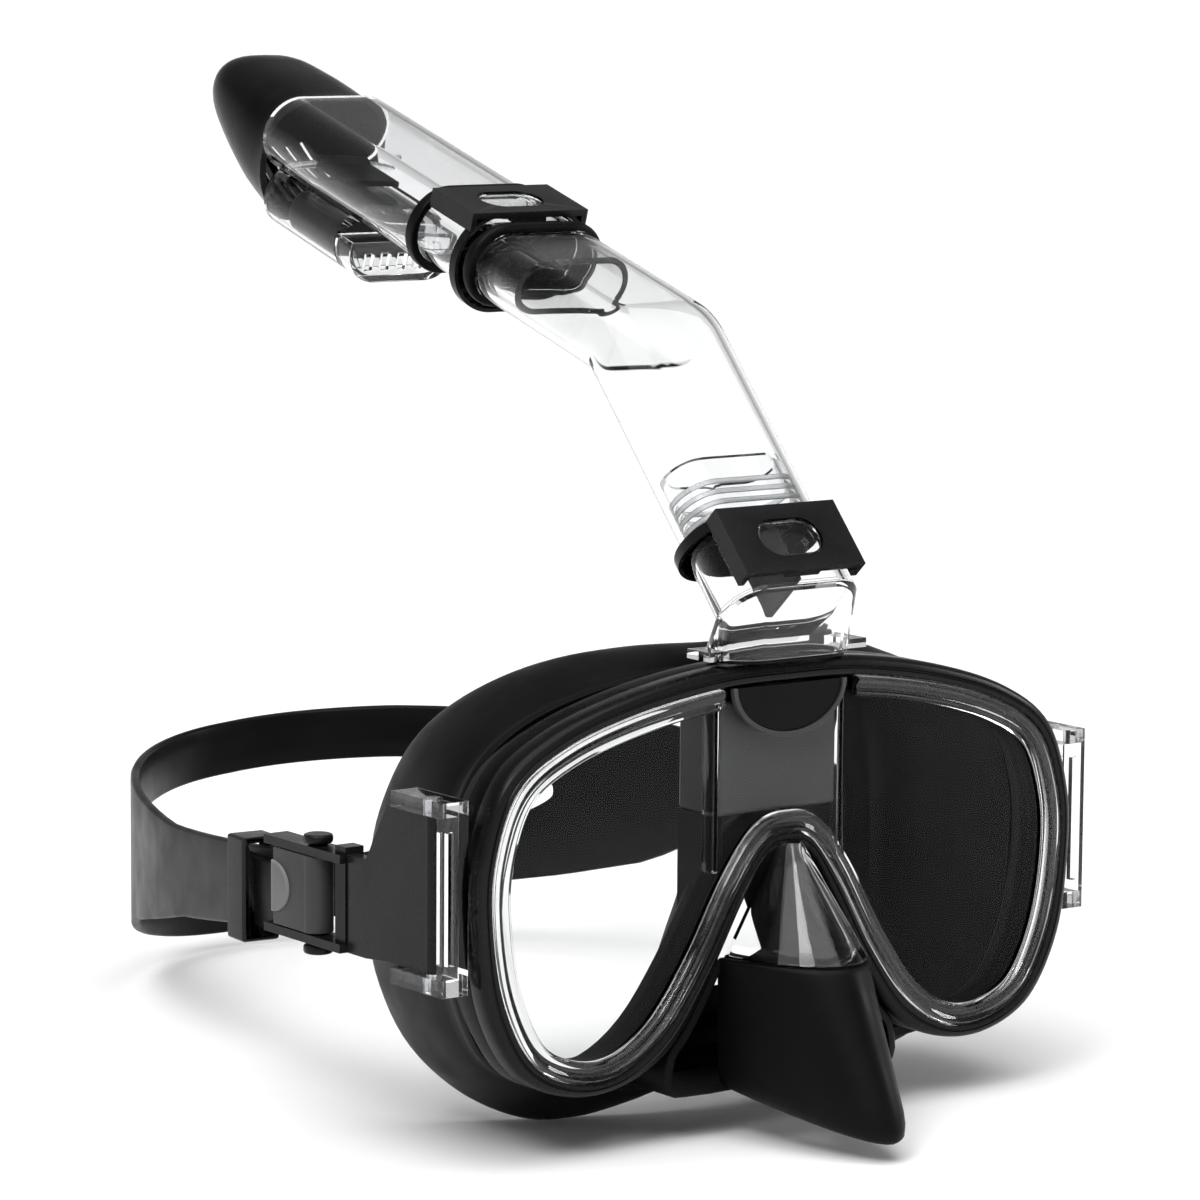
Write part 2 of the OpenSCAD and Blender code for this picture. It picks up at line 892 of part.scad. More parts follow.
module buckle_lever(side) {
    inner_h = arm_h - 2 * rail - 0.6;
    color([0.06, 0.06, 0.06])
        on_side(side)
            difference() {
                union() {
                    translate([roller_x, roller_y, arm_mid])
                        cylinder(r = roller_r + 1.3, h = inner_h, center = true);
                    translate([roller_x + 1.2, roller_y, arm_mid - inner_h / 2])
                        cube([lever_t, lever_len, inner_h]);
                }
                translate([roller_x, roller_y, arm_mid])
                    cylinder(r = roller_r + 0.06, h = arm_h, center = true);
            }
}

module keeper(side) {
    color([0.02, 0.02, 0.02])
        on_side(side)
            translate([82, 78, -25.4])
                rotate([0, 0, 5])
                    difference() {
                        translate([-4, 0, -11.5])
                            cube([9, 8, 23]);
                        translate([-2.6, -1, -10.1])
                            cube([6.2, 10, 20.2]);
                    }
}

// ---- strap ---------------------------------------------------------------

// The four corners of the strap at an angle round the loop
function strap_ring(a, top, bottom) = let (
        x = loop_x(a),
        y = loop_y(a),
        out = [cos(a) / loop_half_w, sin(a) / loop_depth],
        n = out / norm(out) * strap_t / 2
    )
    [
        [x - n[0], y - n[1], bottom], [x + n[0], y + n[1], bottom],
        [x + n[0], y + n[1], top], [x - n[0], y - n[1], top]
    ];

module strap_whole(from, to) {
    step = (to - from) / 8;
    ring_row([for (i = [0 : 8]) let (a = from + i * step) strap_ring(a, strap_top(a), strap_bottom(a))]);
}

module strap_run(side) {
    start = 11.5;
    color([0.05, 0.05, 0.05])
        if (side > 0)
            strap_whole(start, run_angle - 0.1);
        else
            strap_whole(180 - run_angle + 0.1, 180 - start);
}

module strap_back() {
    last = 180 - split_angle;
    step = (last - split_angle) / 30;
    color([0.05, 0.05, 0.05]) {
        strap_whole(run_angle, split_angle + 1);
        strap_whole(last - 1, 180 - run_angle);
        ring_row([
            for (i = [0 : 30])
                let (a = split_angle + i * step) strap_ring(a, strap_top(a), upper_bottom(a))
        ]);
        ring_row([
            for (i = [0 : 30])
                let (a = split_angle + i * step) strap_ring(a, lower_top(a), strap_bottom(a))
        ]);
    }
}

// ---- the assembly --------------------------------------------------------

translate(datum) lens();
translate(datum) lens_trim();
translate(datum) bezel_frame();
translate(datum) clip_ring();
translate(datum) lens_gasket();
translate(datum) face_skirt();
translate(datum) nose_window();
translate(datum) nose_pocket();
translate(datum) air_duct();
translate(datum) air_port_seal();
translate(datum) air_port_ring();
translate(datum) inhale_valve();
translate(datum) duct_rail(1);  // duct_rail_left
translate(datum) duct_rail(-1);  // duct_rail_right
translate(datum) tube_connector();
translate(datum) connector_gasket();
translate(datum) connector_divider();
translate(datum) lower_seal_rings();
translate(datum) on_lower_latch() latch_collar();  // lower_collar
translate(datum) on_lower_latch() release_button();  // lower_release_button
translate(datum) bent_tube();
translate(datum) upper_gasket();
translate(datum) on_upper_latch() latch_collar();  // upper_collar
translate(datum) on_upper_latch() release_button();  // upper_release_button
translate(datum) housing_band();
translate(datum) dry_top_housing();
translate(datum) float_cage();
translate(datum) float();
translate(datum) flap_valve();
translate(datum) flap_pin();
translate(datum) dry_top_cap();
translate(datum) bracket(1);  // bracket_left
translate(datum) bracket(-1);  // bracket_right
translate(datum) hinge_pin(1);  // hinge_pin_left
translate(datum) hinge_pin(-1);  // hinge_pin_right
translate(datum) swivel(1);  // swivel_left
translate(datum) swivel(-1);  // swivel_right
translate(datum) buckle(1);  // buckle_left
translate(datum) buckle(-1);  // buckle_right
translate(datum) roller(1);  // roller_left
translate(datum) roller(-1);  // roller_right
translate(datum) buckle_lever(1);  // buckle_lever_left
translate(datum) buckle_lever(-1);  // buckle_lever_right
translate(datum) keeper(1);  // keeper_left
translate(datum) keeper(-1);  // keeper_right
translate(datum) strap_run(1);  // strap_run_left
translate(datum) strap_run(-1);  // strap_run_right
translate(datum) strap_back();
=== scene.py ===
"""Looks of a snorkel mask with a bent clear tube and a float-valve dry top, built on its CAD frame."""
import json
import math

import bmesh
import bpy
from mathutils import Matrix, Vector


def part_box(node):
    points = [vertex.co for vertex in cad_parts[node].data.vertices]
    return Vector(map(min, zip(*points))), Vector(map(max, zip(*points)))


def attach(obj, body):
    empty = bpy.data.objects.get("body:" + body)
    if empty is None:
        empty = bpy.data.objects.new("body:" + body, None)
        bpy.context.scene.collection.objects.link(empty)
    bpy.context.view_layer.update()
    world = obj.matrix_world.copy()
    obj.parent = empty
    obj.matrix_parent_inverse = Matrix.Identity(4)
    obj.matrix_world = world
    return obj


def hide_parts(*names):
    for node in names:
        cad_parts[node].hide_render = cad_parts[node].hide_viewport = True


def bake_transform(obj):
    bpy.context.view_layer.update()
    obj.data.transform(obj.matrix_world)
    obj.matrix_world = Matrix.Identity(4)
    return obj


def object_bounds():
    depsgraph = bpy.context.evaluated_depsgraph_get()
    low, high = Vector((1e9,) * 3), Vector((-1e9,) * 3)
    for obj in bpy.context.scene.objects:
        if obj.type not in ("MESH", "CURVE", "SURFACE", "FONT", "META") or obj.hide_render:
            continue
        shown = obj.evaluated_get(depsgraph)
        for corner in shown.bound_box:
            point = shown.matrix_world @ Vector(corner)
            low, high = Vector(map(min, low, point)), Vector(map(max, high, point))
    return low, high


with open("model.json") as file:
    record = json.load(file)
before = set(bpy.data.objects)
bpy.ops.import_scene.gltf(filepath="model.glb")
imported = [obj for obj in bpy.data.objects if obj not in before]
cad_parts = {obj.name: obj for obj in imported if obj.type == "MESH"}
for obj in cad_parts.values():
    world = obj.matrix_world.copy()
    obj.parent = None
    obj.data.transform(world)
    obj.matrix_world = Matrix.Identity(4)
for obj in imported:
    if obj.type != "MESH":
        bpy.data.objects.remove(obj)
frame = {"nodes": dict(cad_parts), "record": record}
cad_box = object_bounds()

MM = 0.001
BODY_OF = {n: b for b, ns in frame["record"]["behaviour"]["bodies"].items() for n in ns}
SLOT_OF = {s["node"]: s["material_slot"] for s in frame["record"]["subparts"]}
SIDE_NAME = {1: "left", -1: "right"}

# The lens frame, in millimetres: y = 0 on the front of the lens, z = 0 at its bridge
LENS_LOW, LENS_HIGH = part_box("lens")
LENS_TOP = 23.0
LENS_FRONT = LENS_LOW.y / MM
BRIDGE = LENS_HIGH.z / MM - LENS_TOP


def place(p):
    """A point in the lens frame, in millimetres, as a point in the row frame, in metres."""
    return Vector((p[0], p[1] + LENS_FRONT, p[2] + BRIDGE)) * MM


# ---- shapes -------------------------------------------------------------------------------------


def mirrored(half):
    """A closed outline from its +X half, which runs from the top middle to the bottom middle."""
    return half + [(-x, z) for x, z in half[-2:0:-1]]


def between(a, b, c, d, t):
    """The point a share t of the way from b to c, on a smooth curve that passes a and d too."""
    square = 2 * a - 5 * b + 4 * c - d
    cube = 3 * b - a - 3 * c + d
    return 0.5 * (2 * b + (c - a) * t + square * t * t + cube * t**3)


def smooth_loop(points, steps):
    """A closed curve through the points."""
    p, n = [Vector(q) for q in points], len(points)
    return [
        between(p[i - 1], p[i], p[(i + 1) % n], p[(i + 2) % n], k / steps)
        for i in range(n)
        for k in range(steps)
    ]


def smooth_line(points, steps):
    """An open curve through the points."""
    p = [Vector(q) for q in points]
    p = [2 * p[0] - p[1]] + p + [2 * p[-1] - p[-2]]
    out = [
        between(p[i - 1], p[i], p[i + 1], p[i + 2], k / steps)
        for i in range(1, len(p) - 2)
        for k in range(steps)
    ]
    return out + [p[-2]]


def inset(loop, distance, closed=True):
    """The outline moved towards its inside, which is on the right of its direction."""
    n, out = len(loop), []
    for i, p in enumerate(loop):
        before = loop[i - 1] if closed or i > 0 else p
        after = loop[(i + 1) % n] if closed or i < n - 1 else p
        d = (after - before).normalized()
        out.append(p + Vector((d.y, -d.x)) * distance)
    return out


def ramp(v, lo, hi):
    """0 up to lo, 1 from hi on, and a straight run between."""
    return min(max((v - lo) / (hi - lo), 0.0), 1.0)


def loft(rings, closed_rings=True, closed_rows=False, caps=False):
    """Vertices and faces of a surface through rings of points, one after the other."""
    n, m = len(rings[0]), len(rings)
    verts = [p for r in rings for p in r]
    faces = []
    for j in range(m if closed_rows else m - 1):
        for i in range(n if closed_rings else n - 1):
            k, h = (j + 1) % m, (i + 1) % n
            faces.append((j * n + i, j * n + h, k * n + h, k * n + i))
    if caps:
        faces.append(tuple(range(n - 1, -1, -1)))
        faces.append(tuple((m - 1) * n + i for i in range(n)))
    return verts, faces


def joined(*shapes):
    """Several shapes as one list of vertices and one of faces."""
    verts, faces = [], []
    for v, f in shapes:
        base = len(verts)
        verts += list(v)
        faces += [tuple(i + base for i in q) for q in f]
    return verts, faces


def piece(name, shape, material, body, slot, replaces=(), weld=0.0, sharp=38):
    """A new object from points in the lens frame, smooth shaded up to a sharp angle in degrees."""
    verts, faces = shape
    mesh = bpy.data.meshes.new(name)
    mesh.from_pydata([place(v) for v in verts], [], faces)
    bm = bmesh.new()
    bm.from_mesh(mesh)
    if weld:
        bmesh.ops.remove_doubles(bm, verts=bm.verts, dist=weld * MM)
    bmesh.ops.recalc_face_normals(bm, faces=bm.faces)
    bm.to_mesh(mesh)
    bm.free()
    obj = bpy.data.objects.new(name, mesh)
    bpy.context.scene.collection.objects.link(obj)
    mesh.materials.append(material)
    mesh.shade_smooth()
    mesh.set_sharp_from_angle(angle=math.radians(sharp))
    if body:
        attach(obj, body)
    if replaces:
        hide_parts(*replaces)
    return obj


def redrawn(name, node, shape, material, **shading):
    """A finer shape that stands for one CAD node."""
    return piece(name, shape, material, BODY_OF[node], SLOT_OF[node], [node], **shading)


def apply_modifier(obj, kind, **settings):
    """Works one modifier into the object's mesh."""
    modifier = obj.modifiers.new(kind.lower(), kind)
    for key, value in settings.items():
        setattr(modifier, key, value)
    bpy.context.view_layer.update()
    graph = bpy.context.evaluated_depsgraph_get()
    shaped = bpy.data.meshes.new_from_object(obj.evaluated_get(graph))
    obj.modifiers.clear()
    old, obj.data = obj.data, shaped
    bpy.data.meshes.remove(old)


# Carrying a CAD mesh over: how near points merge, how flat faces merge, which edges are rounded, and
# which still show as creases afterwards
WELD_WITHIN = 0.01 * MM
FLAT_WITHIN = math.radians(0.6)
ROUNDED_FROM = math.radians(32)
CREASED_FROM = math.radians(50)


def refined(node, material, bevel):
    """The CAD node's own shape with its sharp edges rounded, standing for the node."""
    mesh = frame["nodes"][node].data.copy()
    mesh.name = node + "_look"
    bm = bmesh.new()
    bm.from_mesh(mesh)
    bmesh.ops.remove_doubles(bm, verts=bm.verts, dist=WELD_WITHIN)
    bmesh.ops.dissolve_limit(
        bm, angle_limit=FLAT_WITHIN, use_dissolve_boundaries=False, verts=bm.verts, edges=bm.edges
    )
    bm.to_mesh(mesh)
    bm.free()
    mesh.materials.clear()
    mesh.materials.append(material)
    obj = bpy.data.objects.new(node + "_look", mesh)
    bpy.context.scene.collection.objects.link(obj)
    apply_modifier(
        obj, "BEVEL", width=bevel * MM, segments=2, limit_method="ANGLE", angle_limit=ROUNDED_FROM,
        use_clamp_overlap=True, miter_outer="MITER_ARC",
    )
    obj.data.shade_smooth()
    obj.data.set_sharp_from_angle(angle=CREASED_FROM)
    apply_modifier(obj, "WEIGHTED_NORMAL", mode="FACE_AREA", weight=100, keep_sharp=True)
    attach(obj, BODY_OF[node])
    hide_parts(node)
    return obj


# ---- materials ----------------------------------------------------------------------------------


class Nodes:
    """A material's node tree, written one node a line."""

    def __init__(self, name):
        self.material = bpy.data.materials.new(name)
        self.material.use_nodes = True
        self.tree = self.material.node_tree
        self.shader = self.tree.nodes["Principled BSDF"]
        self.place = self.tree.nodes.new("ShaderNodeTexCoord").outputs["Object"]

    def link(self, a, b):
        self.tree.links.new(a, b)

    def set(self, **values):
        for key, value in values.items():
            self.shader.inputs[key.replace("_", " ")].default_value = value

    def noise(self, scale, detail, rough=0.5, stretch=None):
        node = self.tree.nodes.new("ShaderNodeTexNoise")
        node.inputs["Scale"].default_value = scale
        node.inputs["Detail"].default_value = detail
        node.inputs["Roughness"].default_value = rough
        place = self.place
        if stretch:
            mapping = self.tree.nodes.new("ShaderNodeMapping")
            mapping.inputs["Scale"].default_value = stretch
            self.link(place, mapping.inputs["Vector"])
            place = mapping.outputs["Vector"]
        self.link(place, node.inputs["Vector"])
        return node.outputs["Fac"]

    def ramp(self, fac, stops):
        """Colours at stops along a factor."""
        node = self.tree.nodes.new("ShaderNodeValToRGB")
        ends = node.color_ramp.elements
        while len(ends) < len(stops):
            ends.new(0.5)
        for end, (position, colour) in zip(ends, stops):
            end.position = position
            end.color = (*colour, 1)
        self.link(fac, node.inputs["Fac"])
        return node.outputs["Color"]

    def spread(self, fac, lo, hi, start=0.3, end=0.7):
        """The factor's run from start to end, spread from lo to hi."""
        node = self.tree.nodes.new("ShaderNodeMapRange")
        node.inputs["From Min"].default_value = start
        node.inputs["From Max"].default_value = end
        node.inputs["To Min"].default_value = lo
        node.inputs["To Max"].default_value = hi
        self.link(fac, node.inputs["Value"])
        return node.outputs["Result"]

    def mix(self, fac, base, colour):
        """The base with a plain colour laid over it where the factor is 1."""
        node = self.tree.nodes.new("ShaderNodeMix")
        node.data_type = "RGBA"
        self.link(fac, node.inputs[0])
        self.link(base, node.inputs[6])
        node.inputs[7].default_value = (*colour, 1)
        return node.outputs[2]

    def bump(self, height, distance, strength, under=None):
        """Relief of a height in metres, over another bump if one is given."""
        node = self.tree.nodes.new("ShaderNodeBump")
        node.inputs["Distance"].default_value = distance
        node.inputs["Strength"].default_value = strength
        self.link(height, node.inputs["Height"])
        if under:
            self.link(under, node.inputs["Normal"])
        return node.outputs["Normal"]

    def edges(self):
        """1 on convex edges, where handling wears the surface, and 0 elsewhere."""
        node = self.tree.nodes.new("ShaderNodeNewGeometry")
        return self.spread(node.outputs["Pointiness"], 0.0, 1.0, 0.52, 0.6)

    def rim(self, blend):
        """How much the surface turns away, which sets the painted shade at the edges of clear mouldings."""
        node = self.tree.nodes.new("ShaderNodeLayerWeight")
        node.inputs["Blend"].default_value = blend
        return node.outputs["Facing"]


def grey(level, blue=None):
    """A grey, with a trace of blue if one is given."""
    return (level, level, level if blue is None else blue)


def moulding(name, dark, light, worn, rough_lo, rough_hi):
    """Injection-moulded opaque plastic: faint clouding, spark-eroded grain and paler worn edges."""
    m = Nodes(name)
    cloud = m.ramp(m.noise(45, 4), [(0.35, dark), (0.7, light)])
    m.link(m.mix(m.edges(), cloud, worn), m.shader.inputs["Base Color"])
    m.link(m.spread(m.noise(160, 5, 0.65), rough_lo, rough_hi), m.shader.inputs["Roughness"])
    grain = m.bump(m.noise(2600, 2), 0.00003, 0.35)
    m.link(m.bump(m.noise(70, 2), 0.00008, 0.25, grain), m.shader.inputs["Normal"])
    m.set(Specular_IOR_Level=0.12)
    return m.material


def silicone(name, dark, light, rough_lo, rough_hi, sheen):
    """Soft moulded silicone: dust-fine grain and slow waviness."""
    m = Nodes(name)
    cloud = m.ramp(m.noise(28, 5, 0.6), [(0.3, dark), (0.75, light)])
    m.link(cloud, m.shader.inputs["Base Color"])
    m.link(m.spread(m.noise(90, 4), rough_lo, rough_hi), m.shader.inputs["Roughness"])
    grain = m.bump(m.noise(1800, 3, 0.6), 0.00004, 0.4)
    m.link(m.bump(m.noise(35, 2), 0.0003, 0.25, grain), m.shader.inputs["Normal"])
    m.set(Specular_IOR_Level=0.1, Sheen_Weight=sheen, Sheen_Roughness=0.4)
    return m.material


def clear(name, middle, edge, rough_lo, rough_hi, ior, shine=0.5):
    """Clear plastic or glass with painted shade that darkens it seen edge on, and flow lines and handling
    haze unless polished.
    """
    m = Nodes(name)
    # Painted shade: the colour darkens to the edge colour as the surface turns away, in place of dark
    # surroundings seen in the edges
    edge_shade_tint = m.ramp(m.rim(0.3), [(0.0, middle), (0.55, middle), (0.95, edge)])
    m.link(edge_shade_tint, m.shader.inputs["Base Color"])
    if rough_hi > 0:
        m.link(m.spread(m.noise(55, 5, 0.7), rough_lo, rough_hi), m.shader.inputs["Roughness"])
        flow = m.noise(60, 2, 0.4, (1, 0.35, 0.35))
        m.link(m.bump(flow, 0.00006, 0.3), m.shader.inputs["Normal"])
    else:
        m.set(Roughness=0.0)
    m.set(Transmission_Weight=1.0, IOR=ior, Specular_IOR_Level=shine)
    return m.material


def metal(name):
    """Drawn stainless pin with fine lengthwise marks."""
    m = Nodes(name)
    streak = m.noise(700, 3, 0.6, (1, 1, 0.05))
    tone = m.ramp(streak, [(0.2, (0.55, 0.56, 0.58)), (0.8, (0.78, 0.79, 0.8))])
    m.link(tone, m.shader.inputs["Base Color"])
    m.link(m.spread(streak, 0.12, 0.3), m.shader.inputs["Roughness"])
    m.link(m.bump(streak, 0.00002, 0.3), m.shader.inputs["Normal"])
    m.set(Metallic=1.0)
    return m.material


BLACK = moulding("black_plastic", grey(0.0012), grey(0.0026), grey(0.02), 0.2, 0.34)
DARK = moulding("dark_plastic", grey(0.004), grey(0.009), grey(0.03), 0.38, 0.55)
DUCT = moulding("duct_grey", grey(0.018, 0.019), grey(0.03, 0.031), grey(0.09, 0.092), 0.28, 0.42)
LEVER = moulding("lever_grey", grey(0.02), grey(0.035, 0.036), grey(0.08), 0.35, 0.5)
# A paler grey for the lever's thumb pads: a painted highlight
PAD_HIGHLIGHT = moulding("pad_painted_highlight", grey(0.1), grey(0.15, 0.152), grey(0.2), 0.4, 0.55)
SKIN = silicone("silicone", grey(0.0009, 0.001), grey(0.0024, 0.0025), 0.36, 0.52, 0.0)
STRAP = silicone("strap_rubber", grey(0.0014, 0.0015), grey(0.0036, 0.0037), 0.3, 0.44, 0.01)
# Each clear material's second colour is the painted shade it darkens to seen edge on
CLEAR = clear("clear_plastic", (0.975, 0.98, 0.985), (0.2, 0.21, 0.22), 0.01, 0.05, 1.32)
TUBE = clear("tube_plastic", (0.98, 0.985, 0.985), (0.2, 0.21, 0.22), 0.01, 0.04, 1.22)
GLASS = clear("lens_glass", (0.985, 0.99, 0.99), (0.6, 0.63, 0.64), 0.0, 0.0, 1.12, shine=0.1)
TRIM = clear("trim_clear", (0.86, 0.865, 0.87), grey(0.1, 0.11), 0.02, 0.07, 1.36)
SEAL = clear("seal_grey", (0.72, 0.73, 0.74), grey(0.35, 0.36), 0.25, 0.42, 1.41)
STEEL = metal("pin_steel")

# Which material each of the record's slots gets
MATERIAL_OF = {
    "clear_plastic": CLEAR, "lens_glass": GLASS, "tube_plastic": TUBE, "black_plastic": BLACK,
    "dark_plastic": DARK, "silicone": SKIN, "duct_grey": DUCT, "rail_clear": CLEAR,
    "seal_grey": SEAL, "strap_rubber": STRAP, "pin_steel": STEEL,
}

# ---- outlines, as in the CAD source, in the lens frame --------------------------------------------

TRIM_EDGE = smooth_loop(mirrored([
    (0, 23.5), (18, 23), (40, 19.5), (58, 14), (70, 6), (75.5, -8), (76, -22), (73, -38),
    (66, -51), (55, -56.5), (44, -56), (33, -49), (23, -36), (13, -19), (6, -10.5), (0, -9),
]), 8)
BEZEL_EDGE = smooth_loop(mirrored([
    (0, 27.8), (20, 27.2), (41.5, 23.5), (60.5, 17.3), (73.2, 8.3), (79, -7), (79.5, -22), (77, -39.5),
    (69, -53.5), (56.5, -59.6), (43, -59.2), (30.5, -53), (21, -40), (12, -24), (6, -14.5), (0, -12.5),
]), 8)
SKIRT_FRONT = smooth_loop(mirrored([
    (0, 25.5), (20, 25), (40, 22.5), (58, 17), (70, 8), (76, -6), (76.5, -22), (74.5, -39),
    (67.5, -53), (56, -59.5), (44, -61.5), (32, -63), (22, -64), (14, -64), (6.5, -64), (0, -64),
]), 6)
SKIRT_REAR = smooth_loop(mirrored([
    (0, 28), (19, 28.5), (37, 26), (52, 19), (62, 9), (68, -6), (70, -21), (69.5, -38),
    (65, -55), (56, -67), (44, -74), (33, -74.5), (23, -71), (14, -65), (6.5, -61), (0, -60),
]), 6)
SKIRT_MIDDLE = Vector((0, -20))
BEZEL_BACK = 9.0
CLIP_BACK = 14.0
PORT_HALF_W, PORT_LOW = 17.4, 15


# ---- lens, trim and frame -----------------------------------------------------------------------


def make_trim():
    """The raised clear rim: two ridges with a valley between, broken by the air port at the top."""
    path = [p for p in TRIM_EDGE if not (abs(p.x) < PORT_HALF_W and p.y > PORT_LOW)]
    gap = max(range(len(path)), key=lambda i: (path[i] - path[i - 1]).length)
    path = path[gap:] + path[:gap]
    # Each point's distance in from the trim's edge, and its y
    profile = [
        (0.0, -0.05), (0.0, -1.3), (0.25, -1.9), (0.7, -2.2), (1.2, -2.05), (1.7, -1.55), (2.3, -1.4),
        (2.9, -1.55), (3.35, -1.9), (3.8, -1.85), (4.2, -1.35), (4.45, -0.7), (4.5, -0.05),
    ]
    rows = [(inset(path, distance, closed=False), y) for distance, y in profile]
    rings = [[(row[i].x, y, row[i].y) for row, y in rows] for i in range(len(path))]
    redrawn("lens_trim_look", "lens_trim", loft(rings, caps=True), TRIM)


def make_bezel():
    """The black front frame: rounded outer corner, face band with a crease, inner wall down to the lens."""
    inner = inset(TRIM_EDGE, -0.2)
    # Each point's share of the way from the bezel's edge to the trim, and its y
    profile = [
        (1.0, BEZEL_BACK), (0.0, BEZEL_BACK), (0.0, 8.6), (0.0, 4.6), (0.03, 4.3), (0.0, 4.0), (0.0, 1.0),
        (0.03, 0.1), (0.12, -0.75), (0.28, -1.25), (0.48, -1.45), (0.54, -1.2), (0.6, -1.2), (0.66, -1.5),
        (0.84, -1.5), (0.94, -1.3), (1.0, -0.8), (1.0, 0.0), (1.0, 5.0),
    ]
    rings = [
        [(a.x + (b.x - a.x) * share, y, a.y + (b.y - a.y) * share) for a, b in zip(BEZEL_EDGE, inner)]
        for share, y in profile
    ]
    redrawn("bezel_look", "bezel_frame", loft(rings, closed_rows=True), BLACK)


# ---- skirt and nose -----------------------------------------------------------------------------


def rim_depth(p):
    """How far back the skirt's rim sits: close at the brow and lip, far at the temples."""
    return 31 + 27 * (abs(p.x) / 70) ** 1.6 - 5 * ramp(-p.y, 40, 70)


def skirt_wall():
    """A thin bellied wall that rolls into a feathered sealing lip."""
    # Each point's share of the way to the rear outline, its pull inwards and its extra depth
    profile = smooth_line([
        (0.0, 0.0, 0.0), (0.05, -0.5, 0.0), (0.12, 0.1, 0.0), (0.25, -1.0, 0.0), (0.5, -1.6, 0.0),
        (0.75, -1.2, 0.0), (0.92, 0.4, 0.1), (1.0, 3.0, 0.5), (1.005, 6.0, -0.5), (1.0, 8.2, -1.5),
        (0.95, 12.8, -2.8), (0.925, 13.0, -3.2), (0.94, 8.0, -3.4), (0.91, 4.6, -2.0), (0.75, 1.4, 0.0),
        (0.5, 1.0, 0.0), (0.25, 1.5, 0.0), (0.0, 2.5, 0.0),
    ], 2)
    rings = []
    for share, pull, extra in profile:
        ring = []
        for a, b in zip(SKIRT_FRONT, SKIRT_REAR):
            flat = a.lerp(b, share)
            away = (flat - SKIRT_MIDDLE).normalized()
            edge = flat - away * pull
            ring.append((edge.x, CLIP_BACK + (rim_depth(b) - CLIP_BACK) * share + extra, edge.y))
        rings.append(ring)
    return loft(rings, closed_rows=True)


def nose_arch():
    """The soft arch over the wearer's nose, rolled at its rear edge."""
    front = [(32, -56), (27, -45), (22, -36), (16, -25), (10, -15), (0, -9.5)]
    rear = [(26, -60), (20.5, -49), (16.5, -39), (12.5, -29), (8, -19), (0, -13)]
    rows = []
    # Each row's depth, its share of the way to the rear curve and how far it rolls inwards
    for depth, share, grow in (
        (11, 0, 0), (15, 0.2, 0), (20, 0.55, 0.3), (24, 0.85, 0.6), (26.5, 1.0, 2.2),
        (25.6, 1.0, 3.2), (23, 0.9, 2.6), (18, 0.45, 2.0), (11, 0.05, 1.8),
    ):
        half = [
            Vector(a).lerp(Vector(b), share) - Vector((grow, 0.3 * grow)) * (1 if a[0] else 0)
            for a, b in zip(front, rear)
        ]
        full = half + [Vector((-p.x, p.y)) for p in half[-2::-1]]
        rows.append([(p.x, depth, p.y) for p in smooth_line(full, 5)])
    return loft(rows, closed_rings=False, closed_rows=True)


WING_X, WING_T = 14.5, 1.5
WING_FRONT, WING_BACK = 3.6, 17.4
WING_TOP, WING_BOTTOM = -4.9, -27


def duct_wing(x):
    """A soft side wall behind the lens, from the duct down to the nose arch."""
    corners = [(x, WING_FRONT), (x + WING_T, WING_FRONT), (x + WING_T, WING_BACK), (x, WING_BACK)]
    return loft([[(*corner, z) for corner in corners] for z in (WING_TOP, WING_BOTTOM)], caps=True)


def make_skirt():
    """The face skirt with its nose arch and the two walls under the duct."""
    shape = joined(skirt_wall(), nose_arch(), duct_wing(WING_X), duct_wing(-WING_X - WING_T))
    redrawn("skirt_look", "face_skirt", shape, SKIN)


NOSE_TOP, WINDOW_BOTTOM, NOSE_BOTTOM = -11.0, -34.6, -70.0
NOSE_STEPS = 28
# How far the pocket's floor rises from its front ridge to its rear, and the middle it is drawn to
TIP_LIFT = 6
POCKET_MIDDLE_Y = -12


def window_share(z):
    """How far down the nose window a height is, 1 from its bottom on."""
    return ramp(-z, -NOSE_TOP, -WINDOW_BOTTOM)


def pocket_share(z):
    """How far down the nose pocket a height is, 0 above its top."""
    return ramp(-z, -WINDOW_BOTTOM, -NOSE_BOTTOM)


def nose_ring(z, pull, back):
    """A level of the nose pocket: a rounded ridge in front, straight sides behind."""
    half_width = 3 + 14 * window_share(z) - 0.5 * pocket_share(z) - pull
    reach = 4 + 18 * window_share(z) + 18 * pocket_share(z) - pull
    ring = []
    for k in range(NOSE_STEPS + 1):
        a = math.radians(-90 + 180 * k / NOSE_STEPS)
        ridge = math.cos(a) ** 1.75
        rise = TIP_LIFT * (1 - ridge) * pocket_share(z)
        ring.append((half_width * math.sin(a), -reach * ridge - 1, z + rise))
    end = z + TIP_LIFT * pocket_share(z)
    return ring + [(half_width, back, end), (-half_width, back, end)]


def drawn_in(ring):
    """A ring shrunk towards the pocket's middle and raised, which closes its floor."""
    return [
        (p[0] * 0.3, POCKET_MIDDLE_Y + (p[1] - POCKET_MIDDLE_Y) * 0.3, p[2] + 1.2) for p in ring
    ]


